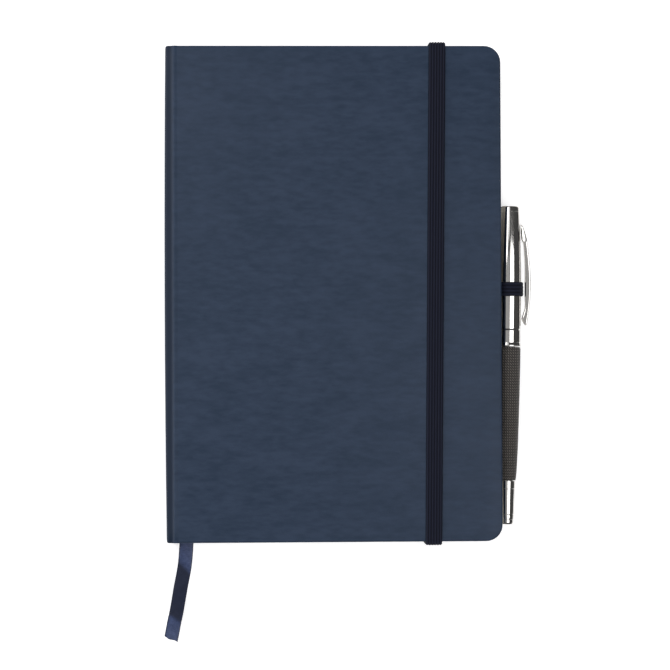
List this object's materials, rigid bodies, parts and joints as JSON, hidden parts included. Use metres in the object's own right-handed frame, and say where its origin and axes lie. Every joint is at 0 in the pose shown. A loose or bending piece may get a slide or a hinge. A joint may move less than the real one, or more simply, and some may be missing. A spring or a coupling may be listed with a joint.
{
  "type": "elastic-closure notebook with pen",
  "caption": "Hard-cover notebook with an elastic closure, a ribbon marker and a capped pen held in an elastic loop at the fore edge.",
  "frame": {"origin": "on the resting surface, under the middle of the closed book and its pen, without the free ribbon", "axes": "+X from the spine to the fore edge, +Y from the tail to the head, +Z out of the front cover; the book lies on its back cover"},
  "size_m": [0.1571, 0.2544, 0.0181],
  "materials": {
    "navy_leather": "soft matt navy imitation leather with a faint mottled grain",
    "greyboard": "raw grey binder's board",
    "endpaper": "smooth heavy cream paper",
    "page_paper": "uncoated cream writing paper",
    "lining_cloth": "open-weave binding cloth",
    "elastic": "ribbed woven dark navy elastic",
    "ribbon_satin": "navy satin",
    "chrome": "polished",
    "woven_sleeve": "dark grey-brown diagonal woven sleeve with a slight sheen",
    "steel": "plain machined",
    "dark_plastic": "satin black",
    "brass": "turned"
  },
  "bodies": {
    "back_cover": {"back_cover_skin": "navy_leather", "back_cover_board": "greyboard", "back_cover_pastedown": "endpaper", "back_flyleaf": "endpaper", "signature_07": "page_paper", "signature_08": "page_paper", "signature_09": "page_paper", "signature_10": "page_paper", "signature_11": "page_paper", "signature_12": "page_paper", "spine_lining_rear": "lining_cloth", "closure_end_head": "elastic", "closure_end_tail": "elastic", "pen_loop": "elastic", "ribbon_inner": "ribbon_satin", "ribbon_tail": "ribbon_satin"},
    "spine": {"spine_skin": "navy_leather", "spine_strip": "greyboard"},
    "front_cover": {"front_cover_skin": "navy_leather", "front_cover_board": "greyboard", "front_cover_pastedown": "endpaper"},
    "front_pages": {"front_flyleaf": "endpaper", "signature_01": "page_paper", "signature_02": "page_paper", "signature_03": "page_paper", "signature_04": "page_paper", "signature_05": "page_paper", "signature_06": "page_paper", "spine_lining_front": "lining_cloth"},
    "closure": {"closure_elastic": "elastic"},
    "pen_cap": {"cap_tube": "chrome", "cap_finial": "chrome", "cap_band": "chrome", "cap_lip_ring": "chrome", "inner_cap": "dark_plastic"},
    "pen_clip": {"clip": "chrome"},
    "pen_barrel": {"barrel_sleeve": "woven_sleeve", "barrel_tube": "steel", "tail_collar": "chrome", "tail_cone": "chrome", "tail_ring": "chrome", "tail_plug": "chrome", "section_collar": "steel", "grip_section": "dark_plastic", "nose_cone": "steel", "refill_tube": "steel", "refill_tip": "brass", "writing_ball": "steel"}
  },
  "joints": [
    {"name": "front_cover_hinge", "type": "hinge", "parent": "spine", "child": "front_cover", "pos_m": [-0.07602, 0, 0.015], "axis": [0, -1, 0], "range_deg": [0, 90]},
    {"name": "spine_hinge", "type": "hinge", "parent": "back_cover", "child": "spine", "pos_m": [-0.07602, 0, 0.002], "axis": [0, -1, 0], "range_deg": [0, 90]},
    {"name": "pages_turn", "type": "hinge", "parent": "back_cover", "child": "front_pages", "pos_m": [-0.07402, 0, 0.0085], "axis": [0, -1, 0], "range_deg": [0, 180]},
    {"name": "closure_stow", "type": "slide", "parent": "back_cover", "child": "closure", "axis": [0, 0, -1], "range_m": [0, 0.0183], "deforming": ["closure_elastic"]},
    {"name": "pen_slide", "type": "slide", "parent": "back_cover", "child": "pen_cap", "axis": [0.0162, 0.9999, 0], "range_m": [0, 0.11], "deforming": ["pen_loop"]},
    {"name": "barrel_pull", "type": "slide", "parent": "pen_cap", "child": "pen_barrel", "axis": [-0.0162, -0.9999, 0], "range_m": [0, 0.06]},
    {"name": "clip_flex", "type": "hinge", "parent": "pen_cap", "child": "pen_clip", "pos_m": [0.07395, 0.02952, 0.0085], "axis": [0, 0, 1], "range_deg": [0, 4], "stiffness_Nm_per_rad": 1.5}
  ],
  "couplings": [
    {"joint": "spine_hinge", "follows": "front_cover_hinge", "ratio": 1},
    {"joint": "pages_turn", "follows": "front_cover_hinge", "ratio": 2},
    {"joint": "closure_stow", "follows": "front_cover_hinge", "m_per_rad": 0.011586}
  ]
}
